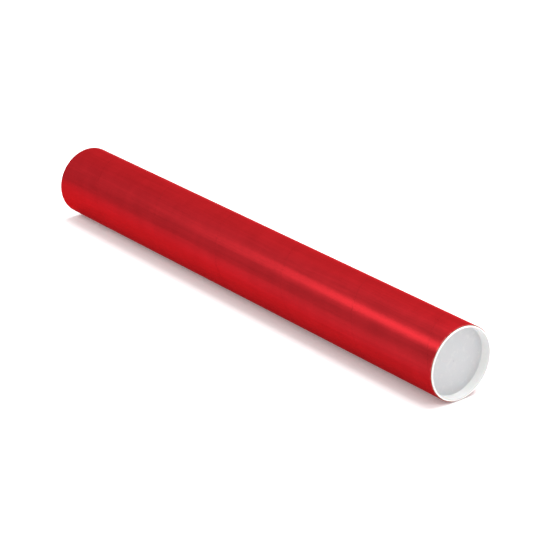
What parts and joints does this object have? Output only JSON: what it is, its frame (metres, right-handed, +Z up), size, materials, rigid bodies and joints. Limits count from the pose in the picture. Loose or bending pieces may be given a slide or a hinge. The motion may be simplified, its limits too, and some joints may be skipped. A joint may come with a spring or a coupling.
{
  "type": "drawing tube",
  "caption": "Spirally wound red paper tube, lying on its side, closed at each end by a recessed white push-in plastic plug, for keeping rolled drawings.",
  "frame": {"origin": "on the surface that the tube lies on, under the middle of its length", "axes": "+X along the tube's axis towards the front plug, +Z up, +Y across"},
  "size_m": [0.6374, 0.0792, 0.0792],
  "materials": {
    "red_paper": "satin",
    "board": "matte",
    "kraft_liner": "matte",
    "white_plastic": "satin"
  },
  "bodies": {
    "tube": {"outer_wrap": "red_paper", "outer_board": "board", "inner_board": "board", "inner_liner": "kraft_liner"},
    "front_plug": {"front_plug": "white_plastic"},
    "back_plug": {"back_plug": "white_plastic"}
  },
  "joints": [
    {"name": "front_plug_pull", "type": "slide", "parent": "tube", "child": "front_plug", "axis": [1, 0, 0], "range_m": [0, 0.1]},
    {"name": "back_plug_pull", "type": "slide", "parent": "tube", "child": "back_plug", "axis": [-1, 0, 0], "range_m": [0, 0.1]}
  ]
}
